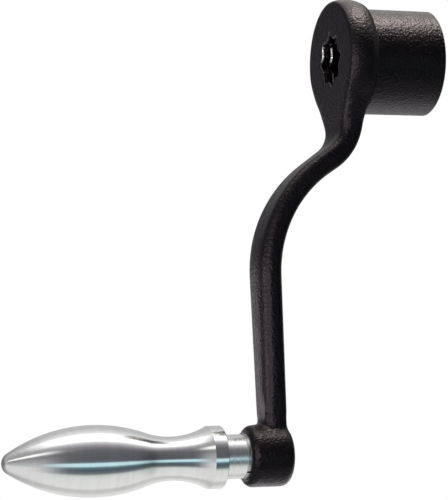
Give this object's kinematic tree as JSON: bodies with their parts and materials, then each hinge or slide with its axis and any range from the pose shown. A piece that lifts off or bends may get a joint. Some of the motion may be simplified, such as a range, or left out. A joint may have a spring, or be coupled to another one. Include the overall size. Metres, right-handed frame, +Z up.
{
  "type": "winch handle",
  "caption": "Hand crank for a winch: swan-necked arm, hub with a star-shaped through socket, and a turned metal grip that revolves on a spindle.",
  "frame": {"origin": "centre of the star socket at the hub's winch-side end face", "axes": "+X along the socket towards the winch; +Z up, with the arm hanging down; the grip points along -X"},
  "size_m": [0.2008, 0.0552, 0.2177],
  "materials": {
    "coated_iron": "black textured powder coat over cast iron",
    "coated_steel": "black textured powder coat over turned steel",
    "socket_steel": "broached bare steel, lightly oiled",
    "key_steel": "ground",
    "ball_steel": "polished",
    "spring_steel": "drawn wire",
    "screw_steel": "black oxide",
    "spindle_steel": "turned, satin",
    "washer_steel": "zinc plated",
    "bronze": "sintered bronze, oiled",
    "polished_grip": "mirror polished stainless steel"
  },
  "bodies": {
    "crank": {"crank_arm": "coated_iron", "hub_barrel": "coated_steel", "socket_insert": "socket_steel", "socket_keys": "key_steel", "detent_spring": "spring_steel", "detent_screw": "screw_steel", "spindle": "spindle_steel", "lock_washer": "washer_steel", "thrust_washer": "bronze", "snap_ring": "spring_steel"},
    "detent": {"detent_ball": "ball_steel"},
    "grip": {"grip_sleeve": "polished_grip", "inner_bush": "bronze", "outer_bush": "bronze"}
  },
  "joints": [
    {"name": "grip_spin", "type": "hinge", "parent": "crank", "child": "grip", "pos_m": [-0.128, 0, -0.175], "axis": [1, 0, 0], "continuous": true},
    {"name": "detent_press", "type": "slide", "parent": "crank", "child": "detent", "axis": [0, 0, 1], "range_m": [0, 0.0012], "stiffness_N_per_m": 3000, "springref_m": -0.001, "deforming": ["detent_spring"]}
  ]
}
